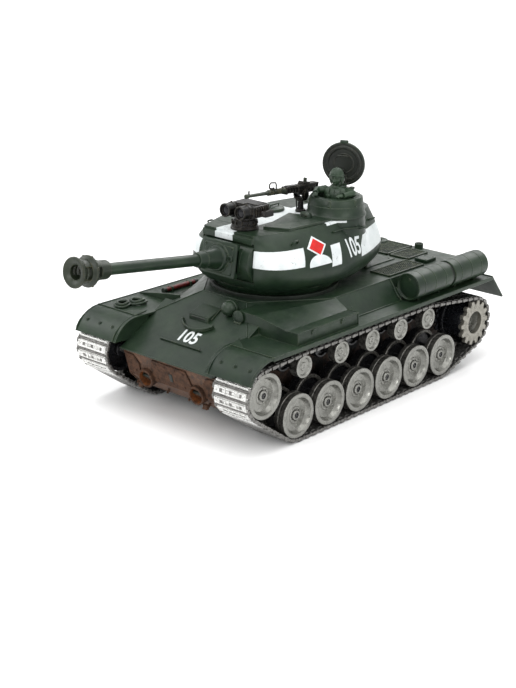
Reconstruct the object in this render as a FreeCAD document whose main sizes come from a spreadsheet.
import FreeCAD, Part
import math
import os
import Sketcher
from FreeCAD import Placement, Rotation, Vector

# A radio-controlled model tank at about 1:16. Lengths are millimetres.
# Every sub-part is drawn about one hull datum: +Z up from the ground, the front at -Y,
# the vehicle's left at +X, Y = 0 near the middle of the running gear. At the end each piece
# gets a Placement that moves the datum so the whole model is centred over its origin.

SIZES = {
    "datum_y": 28.32,
    # lower hull tub
    "tub_half": 50, "wall": 2.5, "floor_z": 14, "tub_top": 76.3,
    # fenders and upper hull
    "fender_half": 96, "fender_z": 78.5, "plate": 1.6, "fender_front": -130, "fender_rear": 166.3,
    "guard_front": -155.2, "guard_front_z": 62.1, "guard_rear": 184.8, "guard_rear_z": 56.5,
    "guard_inner": 52, "deck_z": 95, "nose_y": -148, "nose_z": 56, "deck_front": -80,
    "deck_rear": 152, "tail_y": 165, "shell": 2.6, "roof_half": 66, "sponson_half": 79,
    "drum_bay_half": 71, "bay_front": 52.5, "front_half": 24, "wide_y": -26, "foot_y": -30,
    # fender stowage bin on the left side
    "bin_front": -97, "bin_rear": -22, "bin_outer": 91, "bin_step": 80, "bin_top": 88,
    # running gear
    "wheel_r": 18.2, "wheel_z": 22, "wheel_first": -96.3, "wheel_step": 38.72, "wheel_count": 6,
    "wheel_inner_x": 62, "disc_width": 10, "wheel_width": 31.5, "hub_r": 6, "bore_r": 2.55,
    "axle_r": 2.5, "dish_r": 14.4, "rim_inner": 15.2, "arm_reach": 13, "arm_rise": 4.5,
    "idler_y": -135.3, "idler_z": 49.05, "idler_r": 18.3,
    "roller_r": 9.15, "roller_z": 60.4, "roller_inner_x": 64, "roller_width": 28.5,
    "roller_bore": 2.05, "roller_axle": 2.0, "roller_hub": 4,
    "sprocket_y": 145.2, "sprocket_z": 40.3, "tooth_tip_r": 20.4, "tooth_root_r": 17.2,
    "tooth_count": 16, "sprocket_outer_x": 93.5, "ring_width": 4.6, "drum_r": 15.8,
    "shaft_r": 3, "track_inner_x": 57.5, "track_width": 37, "track_thick": 3.4, "track_gap": 0.4,
    # fuel drums
    "fuel_x": 84, "fuel_z": 91.2, "fuel_r": 11.8, "fuel_front": 54, "fuel_length": 51,
    "fuel_gap": 6, "strap_grow": 0.35, "strap_width": 1.6, "end_recess": 1.6,
    # turret
    "ring_y": -20, "ring_r": 54, "ring_bore": 46, "collar_r": 45.9, "roof_z": 149, "skin": 2.6,
    "turret_foot": 98.1, "trunnion_y": -64, "trunnion_z": 125.5, "gun_rise": 7.45,
    "mantlet_r": 19.1, "mantlet_half": 27, "mantlet_gap": 0.5,
    "cupola_x": 26, "cupola_y": 27, "cupola_low_r": 24, "cupola_top_r": 21.4, "cupola_top": 165.3,
    "cupola_bore": 15.5, "hatch_r": 18.5, "hatch_thick": 2.6, "hatch_turn": 24.4,
    "hatch_reach": 20.5, "hatch_hinge_z": 167.2, "pin_r": 0.9, "pin_bore": 0.95,
    "loader_x": -22, "loader_y": -2, "loader_r": 12.5, "loader_thick": 2.4,
    # gun
    "barrel_r": 4.7, "sleeve_bore": 4.75, "barrel_back": 6, "brake_front": 177.5, "brake_length": 32,
    "plate_front": 24.6, "plate_back": 17.5, "plate_half": 18, "plate_high": 14,
    "sleeve_end": 50, "gun_bore": 3.2, "brake_bore": 5.6,
    # roof equipment
    "pintle_x": 0.5, "pintle_y": 11.5, "mg_axis_z": 168.4, "mg_turn": 6, "mg_rise": 5, "unit_x": 4, "unit_y": -62,
    "unit_base_r": 11.4, "unit_floor": 158.6, "unit_top": 169.4,
    # battery door and switch in the hull floor
    "door_half": 24, "door_front": -30, "door_rear": 60, "door_thick": 2, "switch_y": 118,
}

DOC = FreeCAD.newDocument("model_tank")
SHEET = DOC.addObject("Spreadsheet::Sheet", "Sizes")
for row, (alias, number) in enumerate(SIZES.items(), start=1):
    SHEET.set(f"A{row}", alias)
    SHEET.set(f"B{row}", str(number))
    SHEET.setAlias(f"B{row}", alias)
DOC.recompute()


class Measure:
    """A length that knows both its value and the sheet expression that gives it."""

    def __init__(self, value, text):
        self.value = value
        self.text = text

    def joined(self, other, sign, value):
        return Measure(value, f"({self.text} {sign} {measure(other).text})")

    def __add__(self, other):
        return self.joined(other, "+", self.value + measure(other).value)

    def __sub__(self, other):
        return self.joined(other, "-", self.value - measure(other).value)

    def __mul__(self, other):
        return self.joined(other, "*", self.value * measure(other).value)

    def __neg__(self):
        return Measure(-self.value, f"(0 - {self.text})")

    def __float__(self):
        return float(self.value)


def measure(number):
    return number if isinstance(number, Measure) else Measure(float(number), f"{float(number):.5f}")


class Sizes:
    """The driving dimensions by name, as Measures bound to the sheet."""

    def __getattr__(self, alias):
        return Measure(float(SHEET.get(alias)), f"Sizes.{alias}")


S = Sizes()
PARTS = {}
TURN = {"x": Rotation(Vector(0, 1, 0), 90), "y": Rotation(Vector(1, 0, 0), -90), "z": Rotation()}
FLIP_X = Rotation(Vector(0, 0, 1), 180)


def val(*numbers):
    """Plain numbers from Measures, for Part's own functions."""
    return [float(number) for number in numbers]


def largest(shape):
    return max(shape.Solids, key=lambda solid: solid.Volume)


def bind(item, prop, number):
    item.setExpression(prop, measure(number).text)


def put(item, at):
    for key, number in zip("xyz", at):
        bind(item, f"Placement.Base.{key}", number)
    return item


# ---- small building blocks -----------------------------------------------------------------

def cylinder(name, radius, length, at, axis="z"):
    item = DOC.addObject("Part::Cylinder", name)
    item.Placement = Placement(Vector(), TURN[axis])
    bind(item, "Radius", radius)
    bind(item, "Height", length)
    return put(item, at)


def cone(name, low, high, length, at, axis="z"):
    item = DOC.addObject("Part::Cone", name)
    item.Placement = Placement(Vector(), TURN[axis])
    bind(item, "Radius1", low)
    bind(item, "Radius2", high)
    bind(item, "Height", length)
    return put(item, at)


def box(name, size, at):
    item = DOC.addObject("Part::Box", name)
    for prop, number in zip(("Length", "Width", "Height"), size):
        bind(item, prop, number)
    return put(item, at)


def fuse(name, items):
    item = DOC.addObject("Part::MultiFuse", name)
    item.Shapes = items
    return item


def cut(name, base, tools):
    item = DOC.addObject("Part::Cut", name)
    item.Base = base
    item.Tool = tools[0] if len(tools) == 1 else fuse(name + "_tools", tools)
    return item


def shaped(name, shape):
    item = DOC.addObject("Part::Feature", name)
    item.Shape = shape
    return item


def part(label, item, rigid=None):
    """Names a finished sub-part; rigid is a placement it takes before the datum shift."""
    item.Label = label
    PARTS[label] = (item, rigid or Placement())
    return item


def group(label, solids, rigid=None):
    """Several separate identical pieces kept in one sub-part."""
    DOC.recompute()
    compound = Part.Compound([solid.Shape for solid in solids])
    return part(label, shaped(label, compound), rigid)


def sketch_on(body, name, plane):
    sketch = body.newObject("Sketcher::SketchObject", name)
    support = [face for face in body.Origin.OriginFeatures if face.Role == plane][0]
    sketch.AttachmentSupport = (support, [""])
    sketch.MapMode = "FlatFace"
    return sketch


def outline(sketch, points):
    """A closed polygon whose every corner is held by dimensions from the origin."""
    count = len(points)
    corners = [Vector(*val(*point), 0) for point in points]
    for index, corner in enumerate(corners):
        sketch.addGeometry(Part.LineSegment(corner, corners[(index + 1) % count]), False)
    for index in range(count):
        sketch.addConstraint(Sketcher.Constraint("Coincident", index, 2, (index + 1) % count, 1))
    for index, point in enumerate(points):
        for kind, number in zip(("DistanceX", "DistanceY"), point):
            rule = Sketcher.Constraint(kind, -1, 1, index, 1, float(number))
            place = sketch.addConstraint(rule)
            if measure(number).value != 0:
                bind(sketch, f"Constraints[{place}]", number)


def padded(name, points, width, plane="YZ_Plane"):
    """A body made by padding an outline the same distance to both sides of its plane."""
    body = DOC.addObject("PartDesign::Body", name)
    sketch = sketch_on(body, name + "_outline", plane)
    outline(sketch, points)
    pad = body.newObject("PartDesign::Pad", name + "_pad")
    pad.Profile = sketch
    pad.SideType = "Symmetric"
    bind(pad, "Length", width)
    return body


def turned(name, points):
    """A body turned about the X axis from its half outline of (along, radius) corners."""
    body = DOC.addObject("PartDesign::Body", name)
    sketch = sketch_on(body, name + "_outline", "XY_Plane")
    outline(sketch, points)
    revolve = body.newObject("PartDesign::Revolution", name + "_turn")
    revolve.Profile = sketch
    revolve.ReferenceAxis = (sketch, ["H_Axis"])
    revolve.Angle = 360
    return body


def side_placement(side, along, y, z):
    """Where a turned piece goes: along is its inner face's X on the left side."""
    turn = Rotation() if side > 0 else FLIP_X
    return Placement(Vector(side * float(along), float(y), float(z)), turn)


SIDES = {"left": 1, "right": -1}


# ---- running gear --------------------------------------------------------------------------

def wheel_outline(radius):
    """Two discs on one hub, the outer one dished round a cap; the bore is blind."""
    disc = S.disc_width
    far = S.wheel_width
    rim = radius - 3
    return [(0, S.bore_r), (0, S.hub_r), (4, S.hub_r), (4, rim), (0, rim), (0, radius),
            (disc, radius), (disc, rim), (7, rim), (7, S.hub_r), (far - 7, S.hub_r),
            (far - 7, rim), (far - disc, rim), (far - disc, radius), (far, radius),
            (far, radius - 3.8), (far - 4.3, radius - 6.7), (far - 4.3, 5.2), (far - 3, 5.2),
            (far - 3, 2.4), (far - 2.2, 2.4), (far - 2.2, 0), (far - 5.5, 0),
            (far - 5.5, S.bore_r)]


def roller_outline():
    disc = 8
    far = S.roller_width
    rim = S.roller_r - 1.8
    return [(0, S.roller_bore), (0, S.roller_r), (disc, S.roller_r), (disc, rim),
            (5.5, rim), (5.5, S.roller_hub), (far - 5.5, S.roller_hub), (far - 5.5, rim),
            (far - disc, rim), (far - disc, S.roller_r), (far, S.roller_r), (far, rim),
            (far - 1.8, rim - 0.6), (far - 1.8, 2.6), (far - 1, 2.6), (far - 1, 0),
            (far - 3.4, 0), (far - 3.4, S.roller_bore)]


def wheel_places():
    return [S.wheel_first.value + index * S.wheel_step.value for index in range(int(S.wheel_count.value))]


ROLLER_PLACES = (-89.3, -43.2, -3.3, 35.2, 74.4)


def road_wheels():
    for side_name, side in SIDES.items():
        for index, y in enumerate(wheel_places(), start=1):
            label = f"road_wheel_{side_name}_{index}"
            wheel = turned(label, wheel_outline(S.wheel_r))
            part(label, wheel, side_placement(side, S.wheel_inner_x, y, S.wheel_z))


def idlers_and_rollers():
    for side_name, side in SIDES.items():
        label = f"idler_{side_name}"
        idler = turned(label, wheel_outline(S.idler_r))
        part(label, idler, side_placement(side, S.wheel_inner_x, S.idler_y, S.idler_z))
        for index, y in enumerate(ROLLER_PLACES, start=1):
            label = f"return_roller_{side_name}_{index}"
            roller = turned(label, roller_outline())
            part(label, roller, side_placement(side, S.roller_inner_x, y, S.roller_z))


def toothed_ring(name, inner_x, width):
    """One sprocket ring: teeth by cutting round gaps out of a plain disc."""
    tip, root, count = val(S.tooth_tip_r, S.tooth_root_r, S.tooth_count)
    blank = cylinder(name + "_blank", S.tooth_tip_r, width, (inner_x, 0, 0), "x")
    gaps = []
    gap_r = math.pi * tip / count * 0.56
    for index in range(int(count)):
        angle = 2 * math.pi * (index + 0.5) / count
        reach = root + gap_r
        at = (inner_x - 1, reach * math.cos(angle), reach * math.sin(angle))
        gaps.append(cylinder(f"{name}_gap_{index}", gap_r, width + 2, at, "x"))
    return cut(name, blank, gaps)


def sprockets():
    for side_name, side in SIDES.items():
        label = f"sprocket_{side_name}"
        ring_x = S.sprocket_outer_x - S.ring_width
        rings = [toothed_ring(f"{label}_outer", ring_x, S.ring_width),
                 toothed_ring(f"{label}_inner", 62, 3)]
        drum = cylinder(f"{label}_drum", S.drum_r, ring_x - 62, (62, 0, 0), "x")
        shaft = cylinder(f"{label}_shaft", S.shaft_r, 22, (41, 0, 0), "x")
        solid = fuse(f"{label}_solid", rings + [drum, shaft])
        well = cone(f"{label}_well", 7.5, 10, 8, (S.sprocket_outer_x - 7.5, 0, 0), "x")
        holes = []
        for index in range(int(S.tooth_count.value)):
            angle = 2 * math.pi * index / S.tooth_count.value
            at = (ring_x + 2.2, 14 * math.cos(angle), 14 * math.sin(angle))
            holes.append(cylinder(f"{label}_hole_{index}", 1.5, 4, at, "x"))
        piece = cut(f"{label}_piece", solid, [well] + holes)
        part(label, piece, side_placement(side, 0, S.sprocket_y, S.sprocket_z))


def swing_axles():
    """Each axle is one cross shaft with a trailing arm and a wheel stub at both ends."""
    for index, y in enumerate(wheel_places(), start=1):
        label = f"swing_axle_{index}"
        pivot_y = y - S.arm_reach.value
        pivot_z = S.wheel_z + S.arm_rise
        pieces = [cylinder(f"{label}_bar", 3, 108, (-54, pivot_y, pivot_z), "x")]
        for side in SIDES.values():
            inner = 52 if side > 0 else -56
            stub = 52 if side > 0 else -87
            name = f"{label}_{'l' if side > 0 else 'r'}"
            pieces.append(cylinder(name + "_eye", 4.6, 4, (inner, pivot_y, pivot_z), "x"))
            pieces.append(cylinder(name + "_boss", 4.6, 4, (inner, y, S.wheel_z), "x"))
            pieces.append(cylinder(name + "_stub", S.axle_r, 35, (stub, y, S.wheel_z), "x"))
            web = shaped(name + "_web", arm_web(inner, pivot_y, pivot_z.value, y, S.wheel_z.value))
            pieces.append(web)
        part(label, fuse(label + "_solid", pieces))


def arm_web(x, y1, z1, y2, z2):
    """The flat web between the arm's two round ends, 4 thick and 7.6 deep."""
    along = Vector(0, y2 - y1, z2 - z1)
    along.normalize()
    across = Vector(0, -along.z, along.y) * 3.8
    ends = [Vector(x, y1, z1), Vector(x, y2, z2)]
    corners = [ends[0] + across, ends[1] + across, ends[1] - across, ends[0] - across]
    return Part.Face(Part.makePolygon(corners + corners[:1])).extrude(Vector(4, 0, 0))


def track_axles():
    """Steel stub axles for the return rollers and idlers, screwed into the tub's sides."""
    pins = []
    for side in SIDES.values():
        start = S.tub_half.value - 2 if side > 0 else -88
        for index, y in enumerate(ROLLER_PLACES):
            name = f"roller_axle_{side}_{index}".replace("-", "r")
            pins.append(cylinder(name, S.roller_axle, 40, (start, y, S.roller_z), "x"))
        name = f"idler_axle_{side}".replace("-", "r")
        pins.append(cylinder(name, S.axle_r, 39, (start, S.idler_y, S.idler_z), "x"))
    group("track_axles", pins)


def belt_wire(circles, x):
    """A closed wire running round circles of (y, z, radius), all on its inside, in order."""
    edges = []
    tangents = []
    count = len(circles)
    for index in range(count):
        y1, z1, r1 = circles[index]
        y2, z2, r2 = circles[(index + 1) % count]
        gap = math.hypot(y2 - y1, z2 - z1)
        turn = math.atan2(z2 - z1, y2 - y1) + math.acos((r1 - r2) / gap)
        reach = (math.cos(turn), math.sin(turn))
        tangents.append(((y1 + r1 * reach[0], z1 + r1 * reach[1]), (y2 + r2 * reach[0], z2 + r2 * reach[1])))
    for index in range(count):
        y, z, r = circles[index]
        start = tangents[index - 1][1]
        end = tangents[index][0]
        a1 = math.atan2(start[1] - z, start[0] - y)
        a2 = math.atan2(end[1] - z, end[0] - y)
        while a2 > a1:
            a2 -= 2 * math.pi
        mid = (a1 + a2) / 2
        points = [start, (y + r * math.cos(mid), z + r * math.sin(mid)), end]
        edges.append(Part.Arc(*[Vector(x, *point) for point in points]).toShape())
        following = tangents[index][1]
        edges.append(Part.LineSegment(Vector(x, *end), Vector(x, *following)).toShape())
    return Part.Wire(edges)


def tracks():
    """Each track is a closed belt round idler, rollers, sprocket and road wheels."""
    gap, thick, width, start = val(S.track_gap, S.track_thick, S.track_width, S.track_inner_x)
    places = wheel_places()
    wheel, roller = S.wheel_r.value + gap, S.roller_r.value + gap
    run = [(places[0], S.wheel_z.value, wheel),
           (*val(S.idler_y, S.idler_z), S.idler_r.value + gap),
           (ROLLER_PLACES[0], S.roller_z.value, roller),
           (ROLLER_PLACES[-1], S.roller_z.value, roller),
           (*val(S.sprocket_y, S.sprocket_z), S.tooth_tip_r.value + gap),
           (places[-1], S.wheel_z.value, wheel)]
    grown = [(y, z, r + thick) for y, z, r in run]
    for side_name, side in SIDES.items():
        x = start if side > 0 else -start - width
        outside, inside = [Part.Face(belt_wire(path, x)).extrude(Vector(width, 0, 0)) for path in (grown, run)]
        part(f"track_{side_name}", shaped(f"track_{side_name}", outside.cut(inside)))


# ---- hull ----------------------------------------------------------------------------------

def tub_outline(inset):
    """Side view of the tub, moved inwards by the wall when inset is 1."""
    wall = S.wall * inset
    top = S.tub_top + 4 * inset
    return [(wall * 1.7 - 144.5, 54.9 + 0 * inset), (wall - 138, 33 + 0.6 * inset), (wall * 0.7 - 126, wall * 0.8 + 21),
            (wall * 0.4 - 112, S.floor_z + wall), (158 - 0.4 * wall.value, S.floor_z + wall),
            (176 - wall.value, 34 + 0.4 * wall.value), (176 - wall.value, top),
            (wall * 0.6 - 107, top)]


def lower_hull():
    tub = padded("tub", tub_outline(0), S.tub_half * 2)
    hollow = padded("tub_hollow", tub_outline(1), S.tub_half * 2 - S.wall * 2)
    tools = [hollow]
    for index, y in enumerate(wheel_places()):
        pivot = (-60, y - S.arm_reach.value, S.wheel_z + S.arm_rise)
        tools.append(cylinder(f"pivot_hole_{index}", 3.06, 120, pivot, "x"))
    tools.append(cylinder("shaft_hole", 3.4, 120, (-60, S.sprocket_y, S.sprocket_z), "x"))
    for index, y in enumerate(ROLLER_PLACES):
        tools.append(cylinder(f"roller_hole_{index}", S.roller_axle, 120, (-60, y, S.roller_z), "x"))
    tools.append(cylinder("idler_hole", S.axle_r, 120, (-60, S.idler_y, S.idler_z), "x"))
    door = (S.door_half * 2 + 0.8, S.door_rear - S.door_front + 2.4, 6)
    tools.append(box("door_opening", door, (-S.door_half - 0.4, S.door_front - 1.8, S.floor_z - 2)))
    tools.append(cylinder("door_pin_bore", 0.85, 53, (-26.5, S.door_front + 0.8, S.floor_z + 1.2), "x"))
    tools.append(box("switch_slot", (4.4, 14.4, 6), (-2.2, S.switch_y - 5, S.floor_z - 2)))
    for index, (x, y) in enumerate(SCREW_PLACES):
        tools.append(cylinder(f"screw_hole_{index}", 1.5, 8, (x, y, S.floor_z - 2), "z"))
        tools.append(cylinder(f"screw_seat_{index}", 3, 3, (x, y, S.floor_z - 1.8), "z"))
    tools.append(box("bow_opening", (102, 60, 30), (-51, -155.9, 55.9)))
    tail = [(164.9, 75.8), (176.4, 61.8), (190, 61.8), (190, 90), (164.9, 90), (164.9, 75.8)]
    slope = Part.Face(Part.makePolygon([Vector(-51, y, z) for y, z in tail])).extrude(Vector(102, 0, 0))
    tools.append(shaped("tail_opening", slope))
    part("lower_hull", cut("lower_hull_solid", tub, tools))


SCREW_PLACES = [(x, y) for x in (-40, 40) for y in (-90, -40, 70, 112)]


def screws():
    items = []
    for index, (x, y) in enumerate(SCREW_PLACES):
        head = cylinder(f"screw_head_{index}", 2.8, 1.1, (x, y, S.floor_z + 0.1), "z")
        shank = cylinder(f"screw_shank_{index}", 1.5, 9, (x, y, S.floor_z + 0.2), "z")
        items.append(fuse(f"screw_{index}", [head, shank]))
    group("hull_screws", items)


def polygon_face(points, z):
    corners = [Vector(x, y, z) for x, y in points]
    return Part.makePolygon(corners + corners[:1])


def mirrored(points):
    """A closed plan outline from its left half, listed front to rear."""
    return points + [(-x, y) for x, y in reversed(points)]


def superstructure(inset):
    """The raised hull: a narrow sloped bow that widens to the sponsons, then the engine bay."""
    front, wide, roof, deck, step = val(S.front_half, S.wide_y, S.roof_half, S.deck_z, S.fender_z)
    slope = (deck - S.nose_z.value) / (S.deck_front.value - S.nose_y.value)
    low_y = S.nose_y.value + (step - S.nose_z.value) / slope
    bay, bay_y, rear, tail = val(S.drum_bay_half, S.bay_front, S.deck_rear, S.tail_y)
    low = [(50, low_y), (S.sponson_half.value, S.foot_y.value), (S.sponson_half.value, bay_y - 0.5),
           (bay, bay_y + 0.5), (bay, tail)]
    high = [(front, S.deck_front.value), (roof, wide), (roof, bay_y - 0.5), (roof, bay_y + 0.5), (roof, rear)]
    if inset:
        low = [(x - inset, y + (2 * inset if i == 0 else -inset if i == 4 else 0)) for i, (x, y) in enumerate(low)]
        high = [(x - inset, y + (2 * inset if i == 0 else -inset if i == 4 else 0)) for i, (x, y) in enumerate(high)]
        sections = [polygon_face(mirrored(low), step - 4), polygon_face(mirrored(low), step),
                    polygon_face(mirrored(high), deck - inset)]
    else:
        sections = [polygon_face(mirrored(low), step), polygon_face(mirrored(high), deck)]
    return Part.makeLoft(sections, True, True)


def nose(inset):
    """The low wedge under the glacis, between the front mudguards."""
    slope = (S.deck_z.value - S.nose_z.value) / (S.deck_front.value - S.nose_y.value)
    back = -96.0
    top = S.nose_z.value + slope * (back - S.nose_y.value)
    drop = inset * 1.2
    corners = [(S.nose_y.value + (inset * 3), S.nose_z.value), (back + inset, S.nose_z.value),
               (back + inset, top - drop), (S.nose_y.value + 1.2 + inset * 3, S.nose_z.value + 0.7)]
    half = 51.5 - inset
    face = Part.Face(Part.makePolygon([Vector(-half, y, z) for y, z in corners + corners[:1]]))
    return face.extrude(Vector(2 * half, 0, 0))


def fender_section(side):
    """One fender seen from the side: curved front mudguard, long flat, sloping rear guard."""
    thick = S.plate.value
    tip, tip_z, bend, flat = val(S.guard_front, S.guard_front_z, S.fender_front, S.fender_z)
    rear, guard, guard_z = val(S.fender_rear, S.guard_rear, S.guard_rear_z)
    x = S.guard_inner.value - 3 if side > 0 else -S.fender_half.value
    crown = (tip + 7.8, tip_z + 10.6)

    def point(y, z):
        return Vector(x, y, z)

    outer = Part.Arc(point(tip, tip_z), point(*crown), point(bend, flat)).toShape()
    inner = Part.Arc(point(tip + thick, tip_z), point(crown[0] + thick * 0.8, crown[1] - thick * 0.7),
                     point(bend + 0.4, flat - thick)).toShape()
    loop = [outer,
            Part.LineSegment(point(bend, flat), point(rear, flat)).toShape(),
            Part.LineSegment(point(rear, flat), point(guard, guard_z)).toShape(),
            Part.LineSegment(point(guard, guard_z), point(guard - thick * 1.3, guard_z)).toShape(),
            Part.LineSegment(point(guard - thick * 1.3, guard_z), point(rear - 0.7, flat - thick)).toShape(),
            Part.LineSegment(point(rear - 0.7, flat - thick), point(bend + 0.4, flat - thick)).toShape(),
            inner,
            Part.LineSegment(point(tip + thick, tip_z), point(tip, tip_z)).toShape()]
    wire = Part.Wire(Part.__sortEdges__(loop))
    width = S.fender_half.value - S.guard_inner.value + 3
    return Part.Face(wire).extrude(Vector(width, 0, 0))


def rear_plate():
    """The tail slopes down from the engine deck to the rear of the tub."""
    corners = [(165, 78.5), (S.deck_rear.value, 95), (163, 90.5), (179, 62), (179, 50), (176.5, 50), (176.5, 62),
               (165, 76)]
    face = Part.Face(Part.makePolygon([Vector(-50, y, z) for y, z in corners + corners[:1]]))
    return face.extrude(Vector(100, 0, 0))


def upper_hull():
    """Glacis, sponsons, engine deck and fenders as one thin moulded shell."""
    body = superstructure(0).fuse([nose(0), fender_section(1), fender_section(-1)])
    under = Part.makeBox(110, 268, 3, Vector(-55, -101, S.fender_z.value - 2))
    body = body.cut([superstructure(S.shell.value), nose(S.shell.value)])
    floor = Part.makeBox(2 * S.sponson_half.value, 262, 1.6, Vector(-S.sponson_half.value, -97, 76.9))
    opening = Part.makeBox(96, 250, 4, Vector(-48, -92, 75))
    body = body.fuse(floor.cut(opening)).cut(under.common(opening))
    body = body.fuse([rear_plate(), fender_bin()])
    ring = Part.makeCylinder(S.ring_bore.value, 30, Vector(0, S.ring_y.value, 80))
    body = body.cut(ring).removeSplitter()
    part("upper_hull", shaped("upper_hull_shell", body))


def fender_bin():
    """A closed bin on the left fender whose lid slopes up to the hull roof."""
    front, rear, outer, step, top = val(S.bin_front, S.bin_rear, S.bin_outer, S.bin_step, S.bin_top)
    floor, deck = val(S.fender_z, S.deck_z)
    block = Part.makeBox(outer - 30, rear - front, top - floor, Vector(30, front, floor))
    lid = Part.makeLoft([
        Part.makePolygon([Vector(*p) for p in ((step, front, top), (48, front, 93.4), (30, front, 93.4),
                                                (30, front, top), (step, front, top))]),
        Part.makePolygon([Vector(*p) for p in ((step, rear, top), (68, rear, deck), (30, rear, deck),
                                                (30, rear, top), (step, rear, top))])], True, True)
    body = block.fuse(lid).cut(superstructure(0)).cut(nose(0))
    solid = largest(body)
    hollow = Part.makeBox(outer - 82, rear - front - 5, top - floor - 2.4, Vector(80, front + 2.5, floor))
    return solid.cut(hollow)


def fuel_drums():
    """Two drums in line on each side, each with two straps and recessed ends."""
    length, gap, radius = val(S.fuel_length, S.fuel_gap, S.fuel_r)
    items = []
    for side in SIDES.values():
        for index in range(2):
            front = S.fuel_front + index * (length + gap)
            at = (S.fuel_x * side, front, S.fuel_z)
            name = f"drum_{'l' if side > 0 else 'r'}{index}"
            barrel = cylinder(name + "_wall", S.fuel_r, S.fuel_length, at, "y")
            rings = [cylinder(f"{name}_strap_{k}", S.fuel_r + S.strap_grow, S.strap_width,
                              (at[0], front + place, at[2]), "y") for k, place in enumerate((9, length - 11))]
            ends = [cylinder(f"{name}_end_{k}", radius - 1.4, S.end_recess, (at[0], place, at[2]), "y")
                    for k, place in enumerate((front, front + S.fuel_length - S.end_recess))]
            items.append(cut(name, fuse(name + "_solid", [barrel] + rings), ends))
    group("fuel_drums", items)


def engine_grilles():
    """Mesh covers on the engine deck: a wide one across the rear and one along each side."""
    items = []
    covers = [("rear_grille", (86, 38, 1.6), (-43, 110, S.deck_z)),
              ("left_grille", (21, 50, 1.2), (42, 56, S.deck_z)),
              ("right_grille", (21, 50, 1.2), (-63, 56, S.deck_z)),
              ("engine_hatch", (66, 40, 1.0), (-33, 64, S.deck_z)),
              ("left_cover", (13, 15, 3), (48, 112, S.deck_z)),
              ("right_cover", (13, 15, 3), (-61, 112, S.deck_z))]
    for name, size, at in covers:
        items.append(box(name, size, at))
    items.append(cylinder("exhaust_left", 4, 4.5, (26, 149.6, S.deck_z), "z"))
    items[-1] = cut("exhaust_left_tube", items[-1], [cylinder("exhaust_left_bore", 2.6, 8, (26, 149.6, 94), "z")])
    return items


def engine_deck():
    grilles = engine_grilles()
    exhaust = grilles.pop()
    notch = cylinder("exhaust_notch", 4.6, 8, (26, 149.6, 92), "z")
    grilles[0] = cut("rear_grille_plate", grilles[0], [notch])
    group("engine_grilles", grilles)
    return exhaust


def hull_fittings():
    """Headlamp, horn, visor, splash strip, tow eyes and the tools carried on the right fender."""
    slope = math.degrees(math.atan2(39, 68))
    tilt = Placement(Vector(0, -148.02, 56.04), Rotation(Vector(1, 0, 0), slope))

    def on_glacis(name, size, at):
        item = Part.makeBox(*size, Vector(*at))
        item.Placement = tilt
        return shaped(name, item)

    lamp = Part.makeSphere(6.4, Vector(18, -92, 92.5)).common(Part.makeBox(20, 9.5, 20, Vector(8, -99, 84)))
    lamp_back = Part.makeCone(6.4, 3.4, 6, Vector(18, -89.7, 92.5), Vector(0, 1, 0))
    lamp_foot = Part.makeCylinder(1.8, 8, Vector(18, -87, 85))
    horn = Part.makeCone(5.2, 3.6, 4, Vector(31.5, -98, 88.2), Vector(0, 1, 0))
    horn_body = Part.makeCylinder(4.4, 8, Vector(31.5, -94, 88.2), Vector(0, 1, 0))
    horn_foot = Part.makeCylinder(1.8, 8, Vector(31.5, -90, 80))
    near = superstructure(0).translated(Vector(0.02, -0.02, 0.02))
    bin_block = Part.makeBox(62, 70, 20, Vector(29.5, S.bin_front.value - 0.02, 76))
    far = superstructure(0).translated(Vector(-0.02, -0.02, 0.02))
    fittings = [shaped("headlamp", lamp.fuse([lamp_back, lamp_foot]).cut(near)),
                shaped("horn", largest(horn.fuse([horn_body, horn_foot]).cut([near, bin_block]))),
                on_glacis("visor_block", (25, 7, 4.6), (-12.5, 44, 0)),
                on_glacis("visor_lip", (26, 1.6, 2.8), (-12.5, 36.5, 0)),
                on_glacis("splash_strip", (43, 1.2, 1.8), (-22.5, 20, 0))]
    for side in (-1, 1):
        housing = Part.makeCylinder(8, 11, Vector(side * 28, -143.4, 34), Vector(0, 1, 0.18))
        housing = housing.cut(Part.makeCylinder(6.2, 8.5, Vector(side * 28, -143.6, 34), Vector(0, 1, 0.18)))
        housing = largest(housing.cut(tub_block()))
        fittings.append(shaped(f"towing_eye_{'l' if side > 0 else 'r'}", housing))
    fittings.append(shaped("spare_bar", Part.makeBox(4.4, 40, 3.4, Vector(-84.4, -71, 78.5))))
    for index, place in enumerate((-120, -104)):
        coil = Part.makeTorus(6, 1.3, Vector(-75, place, 79.8))
        fittings.append(shaped(f"shackle_{index}", coil))
    rib = Part.Face(Part.makePolygon([Vector(x, -84, z) for x, y, z in
                                      ((-94.5, 0, 78.5), (-58, 0, 78.5), (-58, 0, 87.5), (-94.5, 0, 79.1),
                                       (-94.5, 0, 78.5))])).extrude(Vector(0, 1.4, 0))
    fittings.append(shaped("fender_rib", rib.cut(far)))
    exhaust = engine_deck()
    DOC.recompute()
    fittings.append(exhaust)
    group("hull_fittings", fittings)


def tub_block():
    corners = [(-144.5, 54.9), (-138, 33), (-126, 21), (-100, 21), (-100, 54.9)]
    face = Part.Face(Part.makePolygon([Vector(-50, y, z) for y, z in corners + corners[:1]]))
    return face.extrude(Vector(100, 0, 0))


# ---- things inside the hull ----------------------------------------------------------------

def drive_units():
    """One gearbox with its motor for each sprocket."""
    items = []
    for side in SIDES.values():
        name = f"drive_{'l' if side > 0 else 'r'}"
        start = 14 if side > 0 else -42
        case = box(name + "_case", (28, 31.6, 38), (start, 128, 20))
        motor = cylinder(name + "_motor", 12, 34, (start + 14, 95, 38), "y")
        hole = cylinder(name + "_bearing", S.shaft_r + 0.05, 60, (start - 16, S.sprocket_y, S.sprocket_z), "x")
        items.append(cut(name, fuse(name + "_solid", [case, motor]), [hole]))
    group("drive_units", items)


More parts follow.
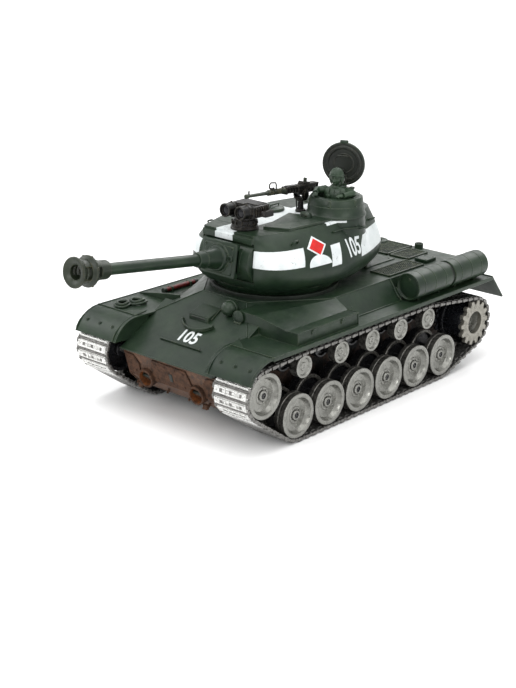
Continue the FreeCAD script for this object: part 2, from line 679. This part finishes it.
def electronics():
    board = box("board", (80, 60, 1.6), (-40, 4, 66))
    chips = [box(f"chip_{k}", (12, 12, 3), (-30 + 22 * k, 24, 67.6)) for k in range(3)]
    part("control_board", fuse("control_board_solid", [board] + chips))
    part("battery_pack", box("battery_cells", (42, 80, 24), (-21, -25, 36)))
    speaker = cone("speaker_cone", 10, 18, 8, (0, -86, 34), "z")
    magnet = cylinder("speaker_magnet", 9, 7, (0, -86, 28), "z")
    part("speaker", fuse("speaker_solid", [speaker, magnet]))
    tank = cylinder("smoke_tank", 9, 26, (0, 88, 62), "y")
    pipe = cylinder("smoke_pipe", 2.4, 20, (0, 100, 68), "z")
    part("smoke_unit", fuse("smoke_unit_solid", [tank, pipe]))


def floor_parts():
    """The hinged battery door and the sliding power switch in the hull floor."""
    door = box("door_panel", (S.door_half * 2, S.door_rear - S.door_front, S.door_thick),
               (-S.door_half, S.door_front, S.floor_z))
    pin = cylinder("door_pin", 0.8, 52, (-26, S.door_front + 0.8, S.floor_z + 1.2), "x")
    catch = box("door_catch", (10, 3, 1.2), (-5, S.door_rear - 3.5, S.floor_z + S.door_thick))
    part("battery_door", fuse("battery_door_solid", [door, catch, pin]))
    knob = box("switch_knob", (4, 6, 5), (-2, S.switch_y, S.floor_z - 1.6))
    track = box("switch_slide", (7, 9, 1.5), (-3.5, S.switch_y - 1.5, S.floor_z + 2.7))
    part("power_switch", fuse("power_switch_solid", [knob, track]))


# ---- turret --------------------------------------------------------------------------------

TURRET_LEVELS = {
    103.0: [(25, -72), (41, -62), (52, -33), (55, -4), (49, 32), (38, 62), (26, 81), (10, 86)],
    112.0: [(28, -77), (47, -66), (58.5, -33), (60, -2), (54, 34), (42, 66), (29, 85), (11, 90)],
    131.0: [(28.5, -77.5), (45, -67.5), (53, -40), (54, -2), (49, 32), (39, 62), (27, 82), (10, 86)],
    149.0: [(26.5, -77), (30, -66), (36, -48), (40.5, -26), (41.5, -8), (40.5, 20), (35, 50), (25, 72), (9, 78)],
}


def turret_wire(points, z, inset):
    """Flat across the gun's front, one smooth curve round the sides and the bustle."""
    half = [(x - inset * x / math.hypot(x, 30), y + inset * (1 if y < -50 else -1 if y > 50 else 0))
            for x, y in points]
    curve = Part.BSplineCurve()
    curve.interpolate([Vector(x, y, z) for x, y in half + [(-x, y) for x, y in reversed(half)]])
    start, end = curve.toShape().Vertexes[0].Point, curve.toShape().Vertexes[-1].Point
    return Part.Wire([curve.toShape(), Part.LineSegment(end, start).toShape()])


def turret_block(inset):
    levels = sorted(TURRET_LEVELS)
    wires = []
    for z in levels:
        level = z - inset if z == levels[-1] else z
        wires.append(turret_wire(TURRET_LEVELS[z], level, inset))
    block = Part.makeLoft(wires, True, False)
    centre = Vector(S.cupola_x.value, S.cupola_y.value, 122)
    bulge = Part.makeCone(S.cupola_low_r.value + 2.6 - inset, S.cupola_low_r.value + 0.4 - inset,
                          27 - inset, centre)
    return block.fuse(bulge)


def gun_hood():
    """The thick lip of the roof that hangs over the top of the mantlet."""
    front, back = -78.4, -57
    low = Part.makePolygon([Vector(x, front, z) for x, z in
                            ((-26.5, 142), (26.5, 142), (26.5, 146.8), (-26.5, 146.8), (-26.5, 142))])
    high = Part.makePolygon([Vector(x, back, z) for x, z in
                             ((-30, 146), (30, 146), (30, 149.3), (-30, 149.3), (-30, 146))])
    return Part.makeLoft([low, high], True, True)


def turret_shell():
    ring_y, foot = val(S.ring_y, S.turret_foot)
    collar = Part.makeCone(50, 54, 103 - foot, Vector(0, ring_y, foot))
    spigot = Part.makeCylinder(S.collar_r.value, 11, Vector(0, ring_y, foot - 10))
    body = turret_block(0).fuse([collar, spigot, gun_hood()])
    well = Part.makeCylinder(S.collar_r.value - 3, 30, Vector(0, ring_y, foot - 11))
    hollow = turret_block(S.skin.value)
    hollow = hollow.cut(Part.makeBox(200, 200, 10, Vector(-100, -100, 96)))
    body = body.cut([hollow, well])
    gap = S.mantlet_r.value + S.mantlet_gap.value
    half = S.mantlet_half.value + S.mantlet_gap.value
    trunnion = Vector(-half, S.trunnion_y.value, S.trunnion_z.value)
    recess = Part.makeCylinder(gap, 2 * half, trunnion, Vector(1, 0, 0))
    body = body.cut(recess)
    holes = [Part.makeCylinder(S.cupola_bore.value, 40, Vector(S.cupola_x.value, S.cupola_y.value, 120)),
             Part.makeCylinder(10, 12, Vector(S.loader_x.value, S.loader_y.value, 142)),
             Part.makeCylinder(2.05, 12, Vector(S.unit_x.value, S.unit_y.value, 142)),
             Part.makeCylinder(2.05, 12, Vector(S.pintle_x.value, S.pintle_y.value, 142))]
    body = body.cut(holes)
    cheeks = []
    for side in (-1, 1):
        ear = Part.makeBox(3, 16, 10, Vector(side * 29.6 - 1.5, -76, 120.5)).common(turret_block(0.5))
        cheeks.append(ear.cut(Part.makeCylinder(2.05, 10, Vector(side * 29.6 - 5, -64, 125.5), Vector(1, 0, 0))))
    plate = Part.makeLoft([polygon_face(ROOF_PLATE, 148.6), polygon_face(ROOF_PLATE, 151.2)], True, True)
    sight = Part.makeCylinder(4, 4, Vector(20, -6, 150.8))
    knuckles = [Part.makeBox(3.3, 3, 3, Vector(S.loader_x.value - 14.6 - 1.5, S.loader_y.value + y, 149)).cut(
        Part.makeCylinder(S.pin_r.value, 20, Vector(-36.6, -12, 151), Vector(0, 1, 0))) for y in (-6, 3)]
    pin = Part.makeCylinder(S.pin_r.value, 12, Vector(-36.6, S.loader_y.value - 6, 151), Vector(0, 1, 0))
    body = body.fuse(cheeks + [plate, sight, pin] + knuckles)
    part("turret_shell", shaped("turret_casting", largest(body)))


ROOF_PLATE = [(17, -54), (37, -44.5), (40.2, -8), (40.3, 4), (24, 1), (2, -5)]


def turret_ring():
    outer = cylinder("race_outer", S.ring_r, 3, (0, S.ring_y, S.deck_z), "z")
    bore = cylinder("race_bore", S.ring_bore, 5, (0, S.ring_y, S.deck_z - 1), "z")
    part("turret_ring", cut("turret_race", outer, [bore]))


def hatch_frame():
    """The commander's hatch hinge: where it is, and the turn that faces it."""
    turn = math.radians(S.hatch_turn.value)
    reach = S.hatch_reach.value
    centre = Vector(S.cupola_x.value - reach * math.sin(turn), S.cupola_y.value + reach * math.cos(turn),
                    S.hatch_hinge_z.value)
    return Placement(centre, Rotation(Vector(0, 0, 1), S.hatch_turn.value))


def cupola():
    """A tapered ring with a stepped top and the two hinge knuckles and pin of its hatch."""
    x, y, roof, top = val(S.cupola_x, S.cupola_y, S.roof_z, S.cupola_top)
    centre = Vector(x, y, roof)
    high = top - roof
    body = Part.makeCone(S.cupola_low_r.value, S.cupola_low_r.value - 0.6, high * 0.6, centre)
    upper = Part.makeCone(S.cupola_low_r.value - 0.9, S.cupola_top_r.value, high * 0.4,
                          centre + Vector(0, 0, high * 0.6))
    body = body.fuse(upper).cut(Part.makeCylinder(S.cupola_bore.value, 40, Vector(x, y, 140)))
    knuckles = []
    for start in (-10, 6.5):
        ear = Part.makeBox(3.5, 6, 8, Vector(start, -4.2, -6))
        ear.Placement = hatch_frame()
        knuckles.append(ear)
    pin = Part.makeCylinder(S.pin_r.value, 20, Vector(-10, 0, 0), Vector(1, 0, 0))
    pin.Placement = hatch_frame()
    body = body.fuse(knuckles + [pin]).cut(Part.makeCylinder(S.cupola_bore.value, 40, Vector(x, y, 140)))
    part("cupola", shaped("cupola_ring", body))


def commander_hatch():
    """A dished round lid, drawn standing open behind the commander."""
    radius, thick = val(S.hatch_r, S.hatch_thick)
    centre = Vector(0, 0.6, radius + 1.2)
    disc = Part.makeCylinder(radius, thick, centre, Vector(0, 1, 0))
    rim = disc.cut(Part.makeCylinder(radius - 5.4, thick - 1, centre + Vector(0, -1, 0), Vector(0, 1, 0)))
    lug = Part.makeCylinder(1.75, 7, Vector(-3.5, 0, 0), Vector(1, 0, 0)).fuse(
        [Part.makeBox(7, 2.2, 8, Vector(-3.5, 0.8, 0)), Part.makeBox(7, 2.6, 3, Vector(-3.5, -1.2, 0))])
    nib = Part.makeBox(7, 3.4, 2.6, Vector(-3.5, 0.2, 2 * radius + 0.2))
    lid = rim.fuse([lug, nib]).cut(Part.makeCylinder(S.pin_bore.value, 12, Vector(-6, 0, 0), Vector(1, 0, 0)))
    part("commander_hatch", shaped("commander_lid", lid), hatch_frame())


def loader_hatch():
    x, y, roof = val(S.loader_x, S.loader_y, S.roof_z)
    lid = Part.makeCylinder(S.loader_r.value, S.loader_thick.value, Vector(x, y, roof + 0.3))
    dome = Part.makeCone(9, 7, 1.2, Vector(x, y, roof + 2.7))
    arm = Part.makeBox(7, 5, 2.2, Vector(-37.8, y - 2.5, 149.6))
    lid = lid.fuse([dome, arm]).cut(Part.makeCylinder(S.pin_bore.value, 12, Vector(-36.6, y - 6, 151),
                                                      Vector(0, 1, 0)))
    part("loader_hatch", shaped("loader_lid", lid))


def commander_figure():
    """A plain half figure that plugs into the cupola, arms resting on its rim."""
    x, y = val(S.cupola_x, S.cupola_y)
    plug = Part.makeCylinder(S.cupola_bore.value - 0.1, 3, Vector(x, y, 150))
    chest = Part.makeCone(8.4, 9.6, 15, Vector(x, y, 152)).fuse(Part.makeCone(9.6, 3.4, 5, Vector(x, y, 167)))
    neck = Part.makeCylinder(3, 5, Vector(x, y, 170))
    head = Part.makeSphere(6.1, Vector(x, y - 0.8, 179.2))
    cap = Part.makeSphere(7.3, Vector(x, y, 181.6)).common(Part.makeBox(20, 20, 9, Vector(x - 10, y - 10, 180.6)))
    arms = []
    for side in (-1, 1):
        shoulder = Vector(x + side * 8.4, y, 169)
        elbow = Vector(x + side * 15, y - 4, 168.3)
        hand = Vector(x + side * 9, y - 15, 168.3)
        for low, high in ((shoulder, elbow), (elbow, hand)):
            reach = high - low
            arms.append(Part.makeCylinder(2.7, reach.Length, low, reach))
        arms += [Part.makeSphere(2.7, place) for place in (shoulder, elbow, hand)]
    figure = plug.fuse([chest, neck, head, cap] + arms)
    part("commander_figure", shaped("commander_bust", figure))


# ---- gun, drawn along -Y from its trunnion and then raised ---------------------------------

def gun_frame():
    place = Vector(0, S.trunnion_y.value, S.trunnion_z.value)
    return Placement(place, Rotation(Vector(1, 0, 0), -S.gun_rise.value))


def mantlet():
    radius, half, front, back, wide, high = val(S.mantlet_r, S.mantlet_half, S.plate_front, S.plate_back,
                                                S.plate_half, S.plate_high)
    drum = Part.makeCylinder(radius, 2 * half, Vector(-half, 0, 0), Vector(1, 0, 0))
    drum = drum.cut(Part.makeBox(80, 60, 60, Vector(-40, 4, -30)))
    drum = drum.cut(Part.makeCylinder(radius - 3.5, 2 * half - 6, Vector(3 - half, 0, 0), Vector(1, 0, 0)))
    plate = Part.makeBox(2 * wide, 4.6, 2 * high, Vector(-wide, -front, -high)).fuse(
        Part.makeBox(2 * wide, front - back + 1.9, 20, Vector(-wide, -front, -10)))
    collar = Part.makeCylinder(9.6, 3.4, Vector(0, -front - 3.4, 0), Vector(0, 1, 0))
    taper = Part.makeCone(5.9, 8.4, S.sleeve_end.value - front - 3.3, Vector(0, -S.sleeve_end.value, 0),
                          Vector(0, 1, 0))
    core = Part.makeCylinder(9, 24, Vector(0, -24, 0), Vector(0, 1, 0))
    trunnions = [Part.makeCylinder(2, 4.2, Vector(side * half - (0.2 if side > 0 else 4.0), 0, 0), Vector(1, 0, 0))
                 for side in (-1, 1)]
    body = drum.fuse([plate, collar, taper, core] + trunnions)
    body = body.cut(Part.makeCylinder(S.sleeve_bore.value, 80, Vector(0, -60, 0), Vector(0, 1, 0)))
    part("mantlet", shaped("mantlet_casting", body), gun_frame())


def gun_barrel():
    front, length, back = val(S.brake_front, S.brake_length, S.barrel_back)
    seat = front - length + 10
    tube = Part.makeCylinder(S.barrel_r.value, seat - back, Vector(0, -seat, 0), Vector(0, 1, 0))
    bore = Part.makeCylinder(S.gun_bore.value, 60, Vector(0, -seat - 1, 0), Vector(0, 1, 0))
    part("gun_barrel", shaped("barrel_tube", tube.cut(bore)), gun_frame())


BRAKE_PROFILE = [(0, 11), (1.4, 11.6), (3.6, 9.9), (5, 9.2), (11.6, 9.2), (12.6, 11.8), (15.4, 11.8),
                 (16.6, 9.4), (21.5, 7.4), (23, 7.2), (31, 7.2), (32, 6.4)]


def muzzle_brake():
    """Two baffles with side windows, screwed on the end of the barrel."""
    front = S.brake_front.value
    corners = [Vector(0, -front + along, radius) for along, radius in BRAKE_PROFILE]
    corners += [Vector(0, -front + S.brake_length.value, 0), Vector(0, -front, 0)]
    solid = Part.Face(Part.makePolygon(corners + corners[:1])).revolve(Vector(), Vector(0, 1, 0), 360)
    bore = Part.makeCylinder(S.brake_bore.value, 22.2, Vector(0, -front - 0.1, 0), Vector(0, 1, 0))
    seat = Part.makeCylinder(S.barrel_r.value + 0.02, 20, Vector(0, -front + 22, 0), Vector(0, 1, 0))
    slots = [Part.makeBox(40, 5.4, 11, Vector(-20, -front + 5.6, -5.5)),
             Part.makeBox(40, 4.4, 8, Vector(-20, -front + 17, -4))]
    part("muzzle_brake", shaped("brake_casting", solid.cut([bore, seat] + slots)), gun_frame())


# ---- roof equipment ------------------------------------------------------------------------

def mg_turn():
    """The machine gun is left pointing a little to the left of straight ahead."""
    return Placement(Vector(), Rotation(Vector(0, 0, 1), S.mg_turn.value), Vector(*val(S.pintle_x, S.pintle_y), 0))


def mg_rise():
    """The machine gun points a little up, turned about the pin through its mount."""
    x, y, axis = val(S.pintle_x, S.pintle_y, S.mg_axis_z)
    return Placement(Vector(), Rotation(Vector(1, 0, 0), -S.mg_rise.value), Vector(x, y, axis - 1.6))


def mg_mount():
    """A pintle that turns on the roof and a fork that carries the machine gun."""
    x, y, roof, axis = val(S.pintle_x, S.pintle_y, S.roof_z, S.mg_axis_z)
    foot = Part.makeCylinder(4.4, 2, Vector(x, y, roof + 0.3))
    post = Part.makeCylinder(2.3, axis - roof - 8.5, Vector(x, y, roof + 1))
    peg = Part.makeCylinder(2, 5, Vector(x, y, roof - 4))
    yoke = Part.makeBox(9.6, 5, 2, Vector(x - 4.8, y - 2.5, axis - 8.6))
    cheeks = [Part.makeBox(1.2, 8, 8.6, Vector(x + start, y - 4, axis - 8.6)) for start in (-4.8, 3.6)]
    pin = Part.makeCylinder(S.pin_r.value, 9.6, Vector(x - 4.8, y, axis - 1.6), Vector(1, 0, 0))
    part("mg_pintle", shaped("mg_pintle_post", foot.fuse([post, peg, yoke, pin] + cheeks)), mg_turn())


def machine_gun():
    x, y, axis = val(S.pintle_x, S.pintle_y, S.mg_axis_z)
    receiver = Part.makeBox(6, 26, 8, Vector(x - 3, y - 8, axis - 3.6))
    cover = Part.makeBox(5.6, 18, 5.6, Vector(x - 2.8, y - 25, axis - 2))
    cradle = Part.makeBox(6, 5, 1.4, Vector(x - 3, y - 2.5, axis - 4.8))
    jacket = Part.makeCylinder(2.4, 24, Vector(x, y - 48, axis + 1), Vector(0, 1, 0))
    barrel = Part.makeCylinder(1.5, 32, Vector(x, y - 79, axis + 1), Vector(0, 1, 0))
    grips = [Part.makeCylinder(0.9, 8, Vector(x + side, y + 20.6, axis - 3.9)) for side in (-2.2, 2.2)]
    bar = Part.makeBox(6.2, 4, 1.4, Vector(x - 3.1, y + 17.6, axis + 2.9))
    handle = Part.makeTorus(3.6, 0.6, Vector(x, y - 42, axis + 4.4), Vector(1, 0, 0))
    body = receiver.fuse([cover, cradle, jacket, barrel, bar, handle] + grips)
    body = body.cut(Part.makeCylinder(S.pin_bore.value, 9, Vector(x - 4.5, y, axis - 1.6), Vector(1, 0, 0)))
    part("machine_gun", shaped("machine_gun_body", body), mg_turn().multiply(mg_rise()))


def battle_unit():
    """The twin-lens infrared unit, plugged into the roof so it can be turned."""
    x, y, roof, floor, top = val(S.unit_x, S.unit_y, S.roof_z, S.unit_floor, S.unit_top)
    peg = Part.makeCylinder(2, 5, Vector(x, y, roof - 3.2))
    base = Part.makeCylinder(S.unit_base_r.value, 3, Vector(x, y, roof + 0.4))
    tier = Part.makeCylinder(9.6, floor - roof - 2, Vector(x, y, roof + 2.8))
    case = Part.makeBox(28, 22, top - floor, Vector(x - 14, y - 6, floor))
    lenses = []
    for side in (-8, 8):
        tube = Part.makeCylinder(5.2, 10, Vector(x + side, y - 15, floor + 6.3), Vector(0, 1, 0))
        lenses.append(tube.cut(Part.makeCylinder(3.6, 2, Vector(x + side, y - 15.5, floor + 6.3), Vector(0, 1, 0))))
    part("battle_unit", shaped("battle_unit_case", peg.fuse([base, tier, case] + lenses)))


# ---- assembly ------------------------------------------------------------------------------

lower_hull()
upper_hull()
fuel_drums()
hull_fittings()
turret_ring()
screws()
tracks()
track_axles()
drive_units()
electronics()
floor_parts()
swing_axles()
road_wheels()
idlers_and_rollers()
sprockets()
turret_shell()
cupola()
commander_hatch()
loader_hatch()
commander_figure()
mantlet()
gun_barrel()
muzzle_brake()
mg_mount()
machine_gun()
battle_unit()

DOC.recompute()
datum = Placement(Vector(0, S.datum_y.value, 0), Rotation())
for label, (item, rigid) in PARTS.items():
    item.Placement = datum.multiply(rigid).multiply(item.Placement)
DOC.recompute()

for item in DOC.Objects:
    if "Invalid" in item.State or "Error" in item.State:
        raise RuntimeError(f"{item.Name} failed: {item.State}")
os.makedirs("parts", exist_ok=True)
for label, (item, rigid) in PARTS.items():
    shape = item.Shape
    if shape.isNull() or not shape.isValid() or not shape.Solids:
        raise RuntimeError(f"{label} has no valid solid")
    shape.exportStep(f"parts/{label}.step")
whole = Part.Compound([item.Shape for item, rigid in PARTS.values()]).BoundBox
print(f"{len(PARTS)} parts, box {whole.XMin:.2f}..{whole.XMax:.2f}, {whole.YMin:.2f}..{whole.YMax:.2f}, "
      f"{whole.ZMin:.2f}..{whole.ZMax:.2f}")
